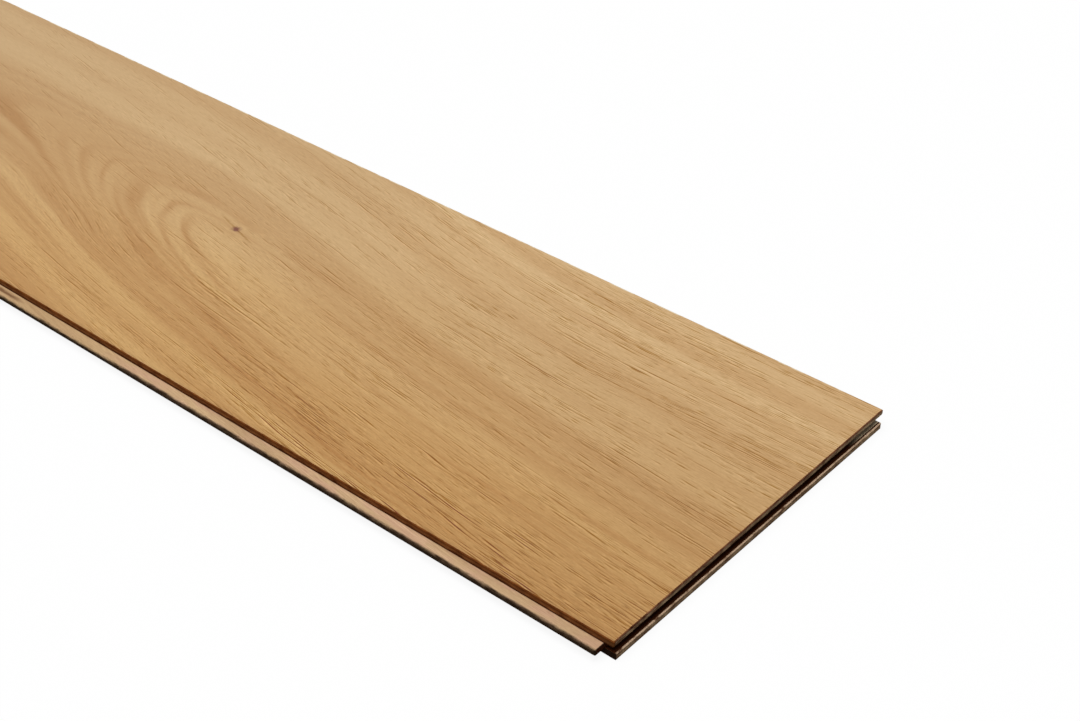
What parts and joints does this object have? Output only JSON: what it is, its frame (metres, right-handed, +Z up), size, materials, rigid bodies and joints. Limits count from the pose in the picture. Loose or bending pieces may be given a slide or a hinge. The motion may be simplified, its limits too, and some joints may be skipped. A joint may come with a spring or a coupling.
{
  "type": "wide plank floorboard",
  "caption": "Wide wood plank floorboard with a satin grained face, a tongue along a long side and an end, and a matching groove along the opposite side and end.",
  "frame": {"origin": "on the underside of the board, below the middle of its face", "axes": "+X along the board towards its grooved end, +Y across it towards its grooved side, +Z up out of the face"},
  "size_m": [1.9048, 0.1964, 0.01],
  "materials": {
    "board_wood": "satin, brushed grain"
  },
  "bodies": {
    "root": {"floorboard": "board_wood"}
  },
  "joints": []
}
